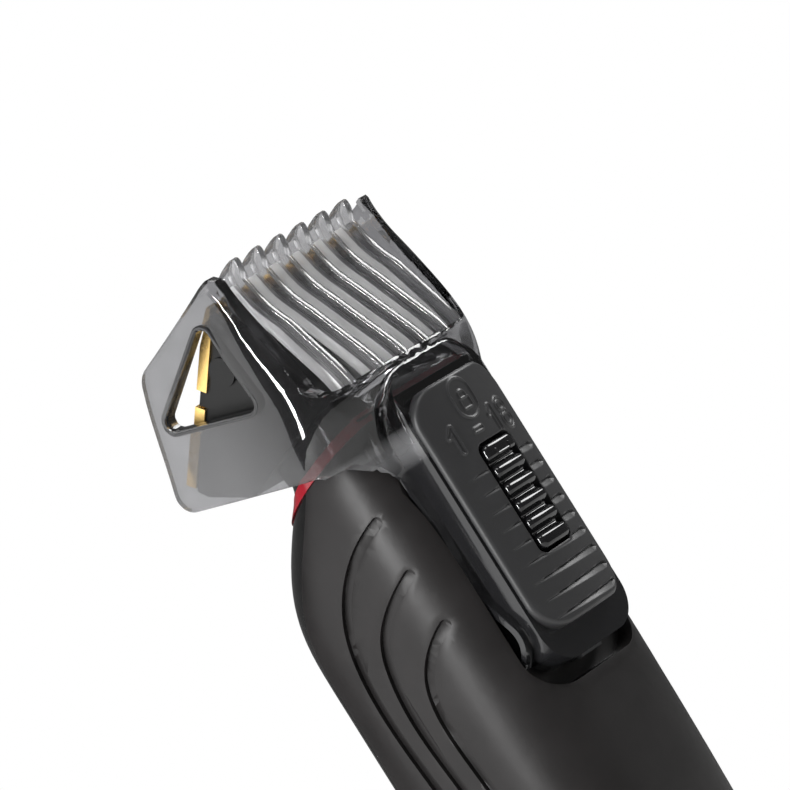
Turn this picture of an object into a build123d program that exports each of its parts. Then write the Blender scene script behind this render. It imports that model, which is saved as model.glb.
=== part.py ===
"""Cordless hair clipper with a sliding guide comb, standing upright on its base.

Frame: +Z runs from the base to the blade, +Y is the back (the side with the comb pad),
-Y is the front (the side with the power switch).  The origin is the centre of the base.
Every size is in millimetres.
"""
from build123d import *
from math import atan, cos, degrees, pi, sin, sqrt
import os

# ---------------------------------------------------------------- driving dimensions
BODY_HALF = 22.0            # half width and half depth of the grip
WALL = 2.0                  # wall of the housing shells
REAR_SEAM_Y = -15.5         # rear shell meets the gloss band on the grip
FRONT_COVER_HALF = 17.2     # front cover, to each side
FRONT_COVER_TOP = 127.0
CAP_TOP = 9.0               # height of the end cap
CAP_ROUND = 4.0             # rounding round the foot of the end cap

GROOVE_WIDTH = 2.0
GROOVE_DEPTH = 0.9
# Middle lines of the three crescent grooves in a side, as Y and Z
GROOVES = [
    [(12.3, 130.0), (5.0, 126.3), (-0.7, 121.2), (-3.7, 116.6), (-6.1, 108.3), (-6.4, 98.0), (-5.0, 82.0)],
    [(13.0, 119.8), (6.4, 116.1), (1.8, 111.9), (-0.6, 105.8), (-1.4, 98.3), (0.0, 80.0)],
    [(13.7, 109.7), (8.7, 106.3), (5.7, 102.7), (4.1, 96.6), (4.6, 78.0)],
]
# Side seam of the rear shell above the grip, as Y and Z
SEAM = [(REAR_SEAM_Y, 112.0), (-12.6, 122.0), (-8.3, 128.0), (-4.9, 132.0), (-0.7, 137.0), (3.8, 143.0), (9.0, 149.0)]

TRIM_SLOPE = 0.31           # rise of the red ring towards the back, per mm
TRIM_BACK = (19.4, 148.0)   # Y and Z of the ring's top edge at the back
TRIM_HEIGHT = 2.0
TRIM_PROUD = 0.35
COLLAR_HEIGHT = 4.5         # collar above the ring, which carries the blade head
COLLAR_PLATE = 1.8
COLLAR_HOLE_R = 6.0

CHANNEL_HALF = 15.2         # channel for the comb's tongue in the rear shell
CHANNEL_FLOOR = 17.0
CHANNEL_END = 90.3
CHANNEL_ROUND = 7.5
TROUGH_WALL = 1.8

COMB_STEPS = 17
STEP = 1.5                  # one notch of the cutting length
COMB_CENTRE_Y = 7.4         # middle of the comb's rounded back
COMB_FRONT_Y = -26.0
COMB_WALL = 1.8
# Side outline of the comb, as Y and Z, tip first, and the window in each side
COMB_TOP = [(24.0, 168.0), (15.2, 174.5), (14.2, 177.6), (12.4, 179.0), (-11.2, 171.9)]
COMB_FOOT = [(-18.6, 148.5), (10.8, 141.3), (17.2, 136.0), (17.2, 85.0), (40.0, 85.0)]
COMB_CORNER = 3.5
WINDOW = [(6.5, 173.8), (-13.7, 161.8), (8.5, 156.0)]
WINDOW_ROUND = 1.6
OPENING_HALF = 21.5         # opening in the comb's back that holds the tines
OPENING_FLOOR = 152.0
OPENING_ROUND = 3.0
BAR_BOTTOM = 146.5          # bar under the tines
BAR_INNER_Y = 17.6

TINE_COUNT = 6
TINE_PITCH = 6.42
TINE_WIDTH = 1.5
TINE_DEPTH = 4.6
TINE_TIP = (14.1, 180.0)
TINE_TIP_FRONT = (8.5, 178.3)
# Outer edge of a middle tine below its tip, as Y and Z
TINE_EDGE = [(13.2, 176.4), (13.9, 173.9), (14.4, 171.4), (16.9, 166.3), (19.1, 162.0), (21.3, 157.8), (23.9, 152.0)]
TINE_DROP = [2.2, 0.4, 0.0]  # how far an outer, second and middle tine's root lies inwards

TONGUE_HALF = 14.6
TONGUE_END = 92.5
FLANGE_TOP = 19.3
TONGUE_UNDER = 17.4         # underside of the tongue, clear of the channel's floor
SHOULDER_HALF = 16.6        # beside the tongue the comb clears the ring and the collar
SHOULDER_UNDER = 16.2
HUMP_HALF = 12.8
HUMP_TOP = 23.7
HUMP_END = 93.6
HUMP_UPPER = 150.0
CAVITY_HALF = 11.4          # hollow under the pad
CAVITY_TOP = 22.0
CAVITY_LOW = 96.0
CAVITY_HIGH = 146.3
GUIDE_LOW = 104.0           # second wall that runs on the rail
GUIDE_HIGH = 106.0
PAD_HALF = 12.0
PAD_BOTTOM = 99.0
PAD_UPPER = 144.8
PAD_BED = 23.3
PAD_EDGE = 24.7
PAD_CROWN = 27.4

BUTTON_HALF = 4.1
BUTTON_LOW = 111.5
BUTTON_HIGH = 131.5
BUTTON_GAP = 0.5
BUTTON_UNDER = 22.4
BUTTON_FACE = 28.3
BUTTON_RIB_PITCH = 3.37
BUTTON_TRAVEL = 1.0

RAIL_LOW = 93.0
RAIL_HIGH = 145.3
RAIL_STEM = 1.4
RAIL_HALF = 3.0
RAIL_UNDER = 19.9           # underside of the rail's flange, where the notches are
RAIL_OVER = 21.2
RAIL_CLEAR = 0.35
HOOK_LOW = 112.0
HOOK_HIGH = 116.0

EDGE = (6.9, 176.3)         # Y and Z of the cutting edge
HEEL = (-17.1, 152.5)       # Y and Z of the blade's heel
BLADE_HALF = 21.0
BLADE_THICK = 2.0
TOOTH_PITCH = 1.7
TOOTH_GAP = 0.75
TOOTH_LENGTH = 6.0
CUTTER_HALF = 17.4
CUTTER_THICK = 1.2
CUTTER_PITCH = 1.3
CUTTER_STROKE = 1.0         # to each side
HOLDER_HALF = 20.5
HOLDER_WALL = 1.6
HOLDER_BACK = [(9.6, 166.5), (12.0, 160.0), (14.4, 154.0)]

DRIVE_Y = 5.5               # motor shaft
ECCENTRICITY = 1.0
PIN_R = 1.0
SHAFT_R = 1.0
CAM_R = 4.2
CAM_LOW = 141.5
CAM_HIGH = 146.5
PIN_TOP = 157.5
MOTOR_R = 9.2
MOTOR_BOTTOM = 84.0
MOTOR_TOP = 116.0
BOSS_R = 3.0

CELL_R = 7.1
CELL_X = 7.4
CELL_BOTTOM = 20.0
CELL_TOP = 68.5
BOARD_Y = -12.4

SWITCH_HALF = 5.0
SWITCH_LOW = 96.0
SWITCH_HIGH = 108.0
SWITCH_TRAVEL = 4.5
LENS_Z = 84.0
LENS_R = 1.6

SCREW_X = 12.0
SCREW_Z = 77.0
SCREW_SEAT = -17.9

SOCKET_R = 1.75
SOCKET_DEPTH = 12.0
SOCKET_MOUTH = 0.0
SOCKET_BODY_R = 3.6

# Body sections: height, half width, half depth, middle in Y, power of the superellipse
BODY_SECTIONS = [
    (0.0, 18.6, 18.3, 0.0, 3.0),
    (14.0, 19.4, 19.2, 0.0, 3.0),
    (28.0, 20.1, 20.0, 0.0, 3.0),
    (42.0, 20.8, 20.7, 0.0, 3.0),
    (56.0, 21.3, 21.3, 0.0, 3.0),
    (70.0, 21.7, 21.7, 0.0, 3.0),
    (82.0, 21.9, 21.9, 0.0, 3.0),
    (93.0, BODY_HALF, BODY_HALF, 0.0, 3.0),
    (103.0, BODY_HALF, BODY_HALF, 0.0, 3.0),
    (112.0, BODY_HALF, BODY_HALF, 0.0, 3.0),
    (120.0, 21.9, 21.5, 0.3, 3.0),
    (127.0, 21.4, 20.0, 1.3, 2.9),
    (133.0, 20.5, 17.5, 2.7, 2.7),
    (138.5, 19.4, 14.7, 4.7, 2.5),
    (144.0, 18.6, 13.2, 6.2, 2.5),
    (158.0, 18.2, 12.6, 6.8, 2.5),
]
SECTION_POINTS = 24

# Comb sections: height, half width, depth of the rounded back, power of its curve
COMB_SECTIONS = [
    (84.0, 24.0, FLANGE_TOP - COMB_CENTRE_Y, 4.0),
    (97.0, 24.0, FLANGE_TOP - COMB_CENTRE_Y, 4.0),
    (110.0, 24.0, FLANGE_TOP - COMB_CENTRE_Y, 4.0),
    (122.0, 24.0, FLANGE_TOP - COMB_CENTRE_Y, 3.6),
    (132.0, 24.0, FLANGE_TOP - COMB_CENTRE_Y, 3.0),
    (140.0, 24.6, 12.3, 2.4),
    (147.0, 25.4, 15.0, 2.6),
    (154.0, 25.1, 15.7, 2.9),
    (161.0, 24.9, 13.4, 3.3),
    (168.0, 24.5, 10.2, 4.2),
    (177.0, 24.0, 7.6, 6.0),
    (187.0, 23.5, 8.6, 6.0),
]

END_OVERRUN = 2.0
FAR = 60.0


# ---------------------------------------------------------------- shared helpers
def box_between(x0, x1, y0, y1, z0, z1):
    """Box between two corners."""
    middle = ((x0 + x1) / 2, (y0 + y1) / 2, (z0 + z1) / 2)
    return Pos(*middle) * Box(abs(x1 - x0), abs(y1 - y0), abs(z1 - z0))


def rod(x, y, z0, z1, radius):
    """Upright cylinder between two heights."""
    return Pos(x, y, (z0 + z1) / 2) * Cylinder(radius, z1 - z0)


def across_plane(x):
    """Plane across the clipper whose own x and y are Y and Z."""
    return Plane(origin=(x, 0, 0), x_dir=(0, 1, 0), z_dir=(1, 0, 0))


def front_rod(x, z, y0, y1, radius):
    """Cylinder from the front to the back between two depths."""
    return Pos(x, (y0 + y1) / 2, z) * Rot(90, 0, 0) * Cylinder(radius, y1 - y0)


def side_prism(points, half, radius=0.0):
    """Outline in Y and Z carried across the clipper, to both sides of its middle."""
    face = make_face(Polyline(*points, close=True))
    if radius:
        face = fillet(face.vertices(), radius)
    return extrude(across_plane(-half) * face, 2 * half)


def back_prism(sketch, y0, y1):
    """Outline in X and Z carried from one depth to another."""
    upright = Plane(origin=(0, y0, 0), x_dir=(-1, 0, 0), z_dir=(0, 1, 0))
    return extrude(upright * sketch, y1 - y0)


def superellipse(height, half_x, half_y, middle_y, power):
    """Closed section |x/a|^n + |y/b|^n = 1 as one periodic spline."""
    points = []
    for index in range(SECTION_POINTS):
        angle = 2 * pi * index / SECTION_POINTS
        c, s = cos(angle), sin(angle)
        reach = (abs(c) ** power + abs(s) ** power) ** (-1 / power)
        points.append((half_x * c * reach, middle_y + half_y * s * reach, height))
    return make_face(Spline(*points, periodic=True))


def past_ends(index, count, inset):
    """Moves the first and last section of an inset form out past the outer form's ends."""
    if not inset:
        return 0.0
    if index == 0:
        return -END_OVERRUN
    return END_OVERRUN if index == count - 1 else 0.0


def body_form(inset):
    """The housing's outer form, drawn in by the inset."""
    faces = []
    for index, (height, half_x, half_y, middle_y, power) in enumerate(BODY_SECTIONS):
        level = height + past_ends(index, len(BODY_SECTIONS), inset)
        faces.append(superellipse(level, half_x - inset, half_y - inset, middle_y, power))
    return loft(faces)


def comb_form(inset):
    """The comb's outer form: flat sides and a rounded back, open to the front."""
    faces = []
    for index, (height, half, depth, power) in enumerate(COMB_SECTIONS):
        level = height + past_ends(index, len(COMB_SECTIONS), inset)
        a = half - inset
        b = depth - inset
        front_y = COMB_FRONT_Y - inset
        arc = []
        for step in range(13):
            angle = pi * step / 12
            c, s = cos(angle), sin(angle)
            reach = (abs(c) ** power + abs(s) ** power) ** (-1 / power)
            arc.append((a * c * reach, COMB_CENTRE_Y + b * s * reach, level))
        back = Spline(*arc, tangents=((0, 1, 0), (0, -1, 0)))
        front = Polyline(arc[-1], (-a, front_y, level), (a, front_y, level), arc[0])
        faces.append(make_face([back, *front.edges()]))
    return loft(faces)


def trim_line(y, rise=0.0):
    """Height of the sloping ring's top edge at a depth."""
    return TRIM_BACK[1] + rise - TRIM_SLOPE * (TRIM_BACK[0] - y)


def sloping_slab(low, high):
    """Slab between two planes parallel to the red ring's top edge."""
    points = [
        (-FAR, trim_line(-FAR, low)),
        (FAR, trim_line(FAR, low)),
        (FAR, trim_line(FAR, high)),
        (-FAR, trim_line(-FAR, high)),
    ]
    return side_prism(points, FAR)


def rounded_outline(half, low, high, radius):
    """Rounded rectangle in X and Z."""
    middle = (low + high) / 2
    return Pos(0, middle) * RectangleRounded(2 * half, high - low, radius)


def blade_plane():
    """Plane on the fixed blade's outer face: y runs up to the cutting edge."""
    run = EDGE[0] - HEEL[0]
    rise = EDGE[1] - HEEL[1]
    length = sqrt(run * run + rise * rise)
    return Plane(
        origin=(0, EDGE[0], EDGE[1]),
        x_dir=(1, 0, 0),
        z_dir=(0, -rise / length, run / length),
    )


def blade_box(x0, x1, s0, s1, t0, t1):
    """Box laid on the blade plane: across, along the slope, through the thickness."""
    return blade_plane() * box_between(x0, x1, s0, s1, t0, t1)


def blade_rod(x, s, t0, t1, radius):
    """Cylinder square to the blade plane."""
    return blade_plane() * rod(x, s, t0, t1, radius)


def blade_length():
    """Distance from the heel to the cutting edge."""
    return sqrt((EDGE[0] - HEEL[0]) ** 2 + (EDGE[1] - HEEL[1]) ** 2)


BODY = body_form(0)
CORE = body_form(WALL)


# ---------------------------------------------------------------- housing
def seam_region(front):
    """Everything in front of, or behind, the side seam of the rear shell."""
    top = SEAM[-1][1] + 20
    side = -FAR if front else FAR
    rest = Polyline(SEAM[-1], (SEAM[-1][0], top), (side, top), (side, -5), (REAR_SEAM_Y, -5), SEAM[0])
    face = make_face([Spline(*SEAM), *rest.edges()])
    return extrude(across_plane(-FAR) * face, 2 * FAR)


def below_trim():
    """Space under the red ring and above the end cap."""
    under = trim_line(-FAR, -TRIM_HEIGHT)
    points = [(-FAR, CAP_TOP), (FAR, CAP_TOP), (FAR, trim_line(FAR, -TRIM_HEIGHT)), (-FAR, under)]
    return side_prism(points, FAR)


def channel_space():
    """Space of the tongue's channel, open to the back and the top."""
    upper = EDGE[1]
    outline = rounded_outline(CHANNEL_HALF, CHANNEL_END, upper, CHANNEL_ROUND)
    return back_prism(outline, CHANNEL_FLOOR, FAR)


def housing_wall():
    """Wall of the housing with the trough that forms the channel's floor."""
    half = CHANNEL_HALF + TROUGH_WALL
    low = CHANNEL_END - TROUGH_WALL
    trough = box_between(-half, half, CHANNEL_FLOOR - TROUGH_WALL, FAR, low, EDGE[1])
    return (BODY - CORE) + (BODY & trough)


WALLED = housing_wall()
CHANNEL = channel_space()


def front_region():
    """Space of the front cover, an outline with a round top in front of the middle."""
    outline = rounded_outline(FRONT_COVER_HALF, -FAR, FRONT_COVER_TOP, FRONT_COVER_HALF - 3)
    return back_prism(outline, -FAR, 0) & box_between(-FAR, FAR, -FAR, 0, CAP_TOP, FAR * 4)


def groove_bands():
    """The grooves as bands with round ends, carried across both sides."""
    bands = []
    for course in GROOVES:
        band = trace(Spline(*course), GROOVE_WIDTH)
        for end in (course[0], course[-1]):
            band = band + Pos(*end) * Circle(GROOVE_WIDTH / 2)
        strip = extrude(across_plane(0) * band, FAR / 2)
        bands.append(Pos(10, 0, 0) * strip)
        bands.append(Pos(-10 - FAR / 2, 0, 0) * strip)
    return bands


def make_rear_shell():
    shell = (WALLED & seam_region(False) & below_trim()) - front_region()
    for x in (-SCREW_X, SCREW_X):
        shell = shell + (CORE & front_rod(x, SCREW_Z, SCREW_SEAT + 3.4, BODY_HALF, 2.8))
    skin = BODY - body_form(GROOVE_DEPTH)
    for band in groove_bands():
        shell = shell - (skin & band)
    for x in (-SCREW_X, SCREW_X):
        shell = shell - front_rod(x, SCREW_Z, SCREW_SEAT, 2.0, SHAFT_R)
    return shell - CHANNEL


def make_side_band():
    """Gloss band between the rear shell and the front cover, joined above the cover."""
    return ((BODY - CORE) & seam_region(True) & below_trim()) - front_region()


def make_front_cover():
    cover = (BODY - CORE) & front_region()
    for x in (-SCREW_X, SCREW_X):
        cover = cover + (BODY & front_rod(x, SCREW_Z, -BODY_HALF, SCREW_SEAT + 3.3, 3.4))
    for x in (-SCREW_X, SCREW_X):
        cover = cover - front_rod(x, SCREW_Z, -FAR, SCREW_SEAT, 2.5)
        cover = cover - front_rod(x, SCREW_Z, -FAR, 0, 1.15)
    slot = rounded_outline(SWITCH_HALF + 0.4, SWITCH_LOW - 0.4, SWITCH_HIGH + SWITCH_TRAVEL + 0.4, 2.9)
    cover = cover - back_prism(slot, -FAR, 0)
    return cover - front_rod(0, LENS_Z, -FAR, 0, LENS_R)


def make_red_trim():
    """Red ring that slopes round the neck and dips into the channel."""
    proud = body_form(-TRIM_PROUD) - CORE
    return ((proud + WALLED) & sloping_slab(-TRIM_HEIGHT, 0)) - CHANNEL


def make_neck_collar():
    """Seat of the blade head, with a hole for the eccentric."""
    plate = BODY & sloping_slab(COLLAR_HEIGHT - COLLAR_PLATE, COLLAR_HEIGHT)
    collar = (WALLED & sloping_slab(0, COLLAR_HEIGHT)) + plate
    return collar - CHANNEL - rod(0, DRIVE_Y, CAM_LOW - 10, PIN_TOP, COLLAR_HOLE_R)


def make_end_cap():
    foot = BODY & box_between(-FAR, FAR, -FAR, FAR, -1, CAP_TOP)
    foot = fillet(foot.edges().group_by(Axis.Z)[0], CAP_ROUND)
    inner = body_form(WALL) & box_between(-FAR, FAR, -FAR, FAR, WALL + 0.4, FAR)
    cap = foot - inner
    lip = body_form(WALL + 0.15) - body_form(WALL + 1.4)
    lip = lip & box_between(-FAR, FAR, -FAR, FAR, WALL + 0.2, CAP_TOP + 2.5)
    return cap + lip - rod(0, 0, -1, CAP_TOP, SOCKET_BODY_R)


def make_charging_socket():
    body = rod(0, 0, SOCKET_MOUTH, SOCKET_MOUTH + SOCKET_DEPTH + 1, SOCKET_BODY_R)
    return body - rod(0, 0, 0, SOCKET_MOUTH + SOCKET_DEPTH, SOCKET_R)


def make_length_rack():
    """T rail on the channel's floor, notched underneath, one notch for each length."""
    stem = box_between(-RAIL_STEM, RAIL_STEM, CHANNEL_FLOOR, RAIL_OVER, RAIL_LOW, RAIL_HIGH)
    rail = stem + box_between(-RAIL_HALF, RAIL_HALF, RAIL_UNDER, RAIL_OVER, RAIL_LOW, RAIL_HIGH)
    notch_half = 0.4
    first = (HOOK_LOW + HOOK_HIGH) / 2
    for index in range(COMB_STEPS + 1):
        z = first + index * STEP
        for x0, x1 in ((-RAIL_HALF - 1, -RAIL_STEM), (RAIL_STEM, RAIL_HALF + 1)):
            notch = box_between(x0, x1, RAIL_UNDER - 1, RAIL_UNDER + 0.5, z - notch_half, z + notch_half)
            rail = rail - notch
    return rail


def make_housing_screws():
    screws = []
    for x in (-SCREW_X, SCREW_X):
        head = front_rod(x, SCREW_Z, SCREW_SEAT - 1.4, SCREW_SEAT, 2.2)
        shank = front_rod(x, SCREW_Z, SCREW_SEAT, 0.0, SHAFT_R - 0.05)
        drive = front_rod(x, SCREW_Z, SCREW_SEAT - 2, SCREW_SEAT - 0.6, 0.8)
        screws.append(head + shank - drive)
    return screws


# ---------------------------------------------------------------- switch and lamp
def make_power_switch():
    """Thumb slider: a ribbed cap outside, a plate behind the cover and a lug to the switch."""
    cap = back_prism(rounded_outline(SWITCH_HALF, SWITCH_LOW, SWITCH_HIGH, 2.5), -BODY_HALF - 1.6, -19.0)
    for index in range(5):
        z = SWITCH_LOW + 2.4 + index * 1.8
        groove = Pos(0, -BODY_HALF - 1.9, z) * Rot(0, 90, 0) * Cylinder(0.7, 4 * SWITCH_HALF)
        cap = cap - groove
    plate = box_between(-7.0, 7.0, -19.1, -18.0, SWITCH_LOW - 6, SWITCH_HIGH + 5)
    lug = box_between(-1.2, 1.2, -18.1, -14.2, SWITCH_LOW + 4, SWITCH_LOW + 7)
    return cap + plate + lug


def make_slide_switch():
    """Switch on the board, with a slot for the slider's lug."""
    body = box_between(-4, 4, BOARD_Y - 3.2, BOARD_Y, SWITCH_LOW, SWITCH_HIGH + 4)
    return body - box_between(-1.6, 1.6, BOARD_Y - 4, BOARD_Y - 1.2, SWITCH_LOW + 3, SWITCH_HIGH + 2)


def make_led_lens():
    """Round lamp window, domed a little over the cover."""
    lens = front_rod(0, LENS_Z, -BODY_HALF - 0.3, -18.5, LENS_R)
    flange = front_rod(0, LENS_Z, -19.4, -18.5, LENS_R + 1.2)
    return lens + flange


def make_circuit_board():
    return box_between(-8.5, 8.5, BOARD_Y, BOARD_Y + 1.4, CELL_BOTTOM, SWITCH_HIGH + 6)


def make_board_components():
    parts = [(-5.0, 30.0, 4.0, 6.0, 1.4), (4.0, 34.0, 3.0, 5.0, 2.0), (-3.5, 48.0, 5.0, 5.0, 1.2)]
    parts += [(4.5, 52.0, 2.0, 3.6, 1.6), (0.0, 64.0, 3.2, 3.2, 2.4), (0.0, LENS_Z, 1.5, 1.5, 1.8)]
    solids = []
    for x, z, wide, tall, high in parts:
        solids.append(box_between(x - wide, x + wide, BOARD_Y - high, BOARD_Y, z - tall, z + tall))
    return solids


# ---------------------------------------------------------------- drive
def make_chassis():
    """Carrier inside the grip for the cells and the motor."""
    front = -9.6
    frame = box_between(-14, 14, front, front + 1.4, 14.0, MOTOR_TOP + 2.5)
    frame = frame + box_between(-14, 14, front, 7.5, 14.0, CELL_BOTTOM - 2)
    frame = frame + box_between(-14, 14, front, 7.5, CELL_TOP + 3, CELL_TOP + 5.5)
    frame = frame + box_between(-12, 12, front, 14.4, MOTOR_BOTTOM - 3, MOTOR_BOTTOM)
    frame = frame + box_between(-12, 12, front, 14.4, MOTOR_TOP, MOTOR_TOP + 2.5)
    frame = frame - rod(0, DRIVE_Y, MOTOR_BOTTOM - 4, MOTOR_TOP + 4, BOSS_R)
    for x in (-SCREW_X, SCREW_X):
        frame = frame - front_rod(x, SCREW_Z, -FAR / 2, FAR / 2, 3.2)
    return frame


def make_motor_can():
    can = rod(0, DRIVE_Y, MOTOR_BOTTOM + 4, MOTOR_TOP, MOTOR_R)
    can = can + rod(0, DRIVE_Y, MOTOR_TOP, MOTOR_TOP + 2.5, BOSS_R)
    return can - rod(0, DRIVE_Y, MOTOR_TOP - 10, MOTOR_TOP + 3, SHAFT_R + 0.05)


def make_motor_end():
    """Plastic end of the motor with its two terminals."""
    end = rod(0, DRIVE_Y, MOTOR_BOTTOM, MOTOR_BOTTOM + 4, MOTOR_R)
    return end + rod(0, DRIVE_Y, MOTOR_BOTTOM - 3, MOTOR_BOTTOM, BOSS_R)


def make_dust_seal():
    low = MOTOR_TOP + 2.5
    return rod(0, DRIVE_Y, low, low + 2, 4.5) - rod(0, DRIVE_Y, low - 1, low + 3, SHAFT_R + 0.15)


def make_motor_shaft():
    return rod(0, DRIVE_Y, MOTOR_TOP - 9.5, CAM_LOW + 3, SHAFT_R)


def make_eccentric_cam():
    """Disc on the shaft with its pin off centre."""
    cam = rod(0, DRIVE_Y, CAM_LOW, CAM_HIGH, CAM_R) - rod(0, DRIVE_Y, CAM_LOW - 1, CAM_LOW + 3, SHAFT_R)
    return cam + rod(ECCENTRICITY, DRIVE_Y, CAM_HIGH - 1, PIN_TOP, PIN_R)


def make_battery_cells():
    cells = []
    for x in (-CELL_X, CELL_X):
        cells.append(rod(x, 0, CELL_BOTTOM, CELL_TOP, CELL_R) + rod(x, 0, CELL_TOP, CELL_TOP + 1.2, 2.7))
    return cells


def make_battery_tabs():
    top = CELL_TOP + 1.2
    tabs = [box_between(-12, 12, -3, 3, CELL_BOTTOM - 2, CELL_BOTTOM - 0.1)]
    for x in (-CELL_X, CELL_X):
        tabs.append(box_between(x - 4, x + 4, -3, 3, top + 0.1, CELL_TOP + 2.9))
    return tabs


# ---------------------------------------------------------------- blade head
def make_blade_holder():
    """Hollow wedge under the fixed blade, open below for the eccentric's pin."""
    rear = (15.6, trim_line(15.6, COLLAR_HEIGHT))
    throat = (-6.0, trim_line(-6.0, COLLAR_HEIGHT))
    outline = [(7.2, 173.8), *HOLDER_BACK, rear, throat, (-14.8, 148.8), (-16.2, 150.6)]
    face = make_face(Polyline(*outline, close=True))
    outer = extrude(across_plane(-HOLDER_HALF) * face, 2 * HOLDER_HALF)
    inner_half = HOLDER_HALF - HOLDER_WALL
    inner = extrude(across_plane(-inner_half) * offset(face, -HOLDER_WALL), 2 * inner_half)
    boss = Pos(0, 2.2, 165.0) * Rot(0, 90, 0) * Cylinder(2.6, 2 * HOLDER_HALF + 1.0)
    holder = outer + boss - inner - blade_box(-FAR, FAR, -FAR, FAR, -BLADE_THICK, FAR)
    lug = blade_box(-HOLDER_HALF, HOLDER_HALF, -19.0, -16.2, -BLADE_THICK - 1, -0.5)
    lug = lug - blade_box(-19.3, 19.3, -25, -10, -9, 1)
    bosses = [blade_box(x - 2.6, x + 2.6, -27.6, -22.4, -7, -BLADE_THICK) for x in (-13, 13)]
    holder = holder + lug + bosses
    holder = holder - blade_box(-inner_half, inner_half, -14.5, 4, -BLADE_THICK - 4.2, 1)
    holder = holder - box_between(-7.5, 7.5, 0.5, 11.0, 140, 156)
    for x in (-13, 13):
        holder = holder - blade_rod(x, -25, -8, 0, 1.2)
    for sign in (-1, 1):
        corner = Polyline((sign * 21.5, 10.7), (sign * 21.5, 16.6), (sign * 13.7, 16.6), close=True)
        holder = holder - Pos(0, 0, 140) * extrude(make_face(corner), 40, dir=(0, 0, 1))
    return holder


def make_fixed_blade():
    """Toothed plate with a bevel towards its teeth."""
    plate = blade_box(-BLADE_HALF, BLADE_HALF, -blade_length(), 0, -BLADE_THICK, 0)
    bevel = Polyline((-8.0, 0.0), (1.0, -1.4), (1.0, 1.0), (-8.0, 1.0), close=True)
    side = Plane(origin=(-FAR / 2, 0, 0), x_dir=(0, 1, 0), z_dir=(1, 0, 0))
    plate = plate - blade_plane() * extrude(side * make_face(bevel), FAR)
    count = int(2 * (BLADE_HALF - 1) / TOOTH_PITCH)
    for index in range(count):
        x = (index - (count - 1) / 2) * TOOTH_PITCH
        gap = blade_box(x - TOOTH_GAP / 2, x + TOOTH_GAP / 2, -TOOTH_LENGTH, 1, -BLADE_THICK - 1, 1)
        plate = plate - gap
    for side_x in (-BLADE_HALF, BLADE_HALF):
        plate = plate - blade_box(side_x - 1.9, side_x + 1.9, -19.2, -16.0, -BLADE_THICK - 1, 1)
    for x in (-13, 13):
        plate = plate - blade_rod(x, -25, -3, 1, 1.35)
    return plate


def make_moving_blade():
    under = -BLADE_THICK - 0.05
    plate = blade_box(-CUTTER_HALF, CUTTER_HALF, -13, -0.8, under - CUTTER_THICK, under)
    count = int(2 * (CUTTER_HALF - 0.6) / CUTTER_PITCH)
    for index in range(count):
        x = (index - (count - 1) / 2) * CUTTER_PITCH
        plate = plate - blade_box(x - 0.35, x + 0.35, -4.6, 0, under - 2, under + 1)
    return plate


def make_cutter_yoke():
    """Plastic carrier behind the moving blade, with a wide fork round the pin."""
    face = -BLADE_THICK - 0.05 - CUTTER_THICK
    carrier = blade_box(-16, 16, -12.8, -8.6, face - 1.3, face)
    under_blade = blade_plane() * box_between(-FAR, FAR, -FAR, FAR, -FAR, face)
    web = box_between(-5.6, 5.6, 1.8, 8.4, 160.0, 176.0) & under_blade
    web = web & blade_plane() * box_between(-FAR, FAR, -FAR, -8.6, -FAR, FAR)
    fork = box_between(-5.6, 5.6, 1.8, 9.2, 151.8, 161.0)
    slot = PIN_R + ECCENTRICITY + CUTTER_STROKE + 0.35
    reach = PIN_R + ECCENTRICITY + 0.35
    fork = fork - box_between(-slot, slot, DRIVE_Y - reach, DRIVE_Y + reach, 150, 159)
    return carrier + web + fork


def make_blade_springs():
    """Two leaf springs in the holder that bear on the carrier."""
    face = -BLADE_THICK - 0.05 - CUTTER_THICK - 1.3
    springs = []
    for x0, x1 in ((-18.9, -8.0), (8.0, 18.9)):
        springs.append(blade_box(x0, x1, -12.4, -9.8, face - 0.9, face - 0.4))
    return springs


def make_blade_screws():
    screws = []
    for x in (-13, 13):
        head = blade_rod(x, -25, 0, 0.9, 2.2)
        slot = blade_box(x - 2.5, x + 2.5, -25.3, -24.7, 0.4, 1.5)
        screws.append(head + blade_rod(x, -25, -6.8, 0, 1.15) - slot)
    return screws


# ---------------------------------------------------------------- comb
def tine_solid(index):
    """One tine: an S shaped plate from the bar to its tip."""
    rank = min(index, TINE_COUNT - 1 - index)
    outer = []
    for y, z in TINE_EDGE:
        share = max(0.0, (TINE_EDGE[3][1] - z) / (TINE_EDGE[3][1] - TINE_EDGE[-1][1]))
        outer.append((y - TINE_DROP[rank] * share, z))
    inner = [(y - TINE_DEPTH, z) for y, z in reversed(outer)]
    tip = Polyline(inner[-1], TINE_TIP_FRONT, TINE_TIP, outer[0])
    foot = Line(outer[-1], inner[0])
    face = make_face([Spline(*outer), foot, Spline(*inner), *tip.edges()])
    x = (index - (TINE_COUNT - 1) / 2) * TINE_PITCH
    return extrude(across_plane(x - TINE_WIDTH / 2) * face, TINE_WIDTH)


def make_comb_tines():
    return [tine_solid(index) for index in range(TINE_COUNT)]


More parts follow.
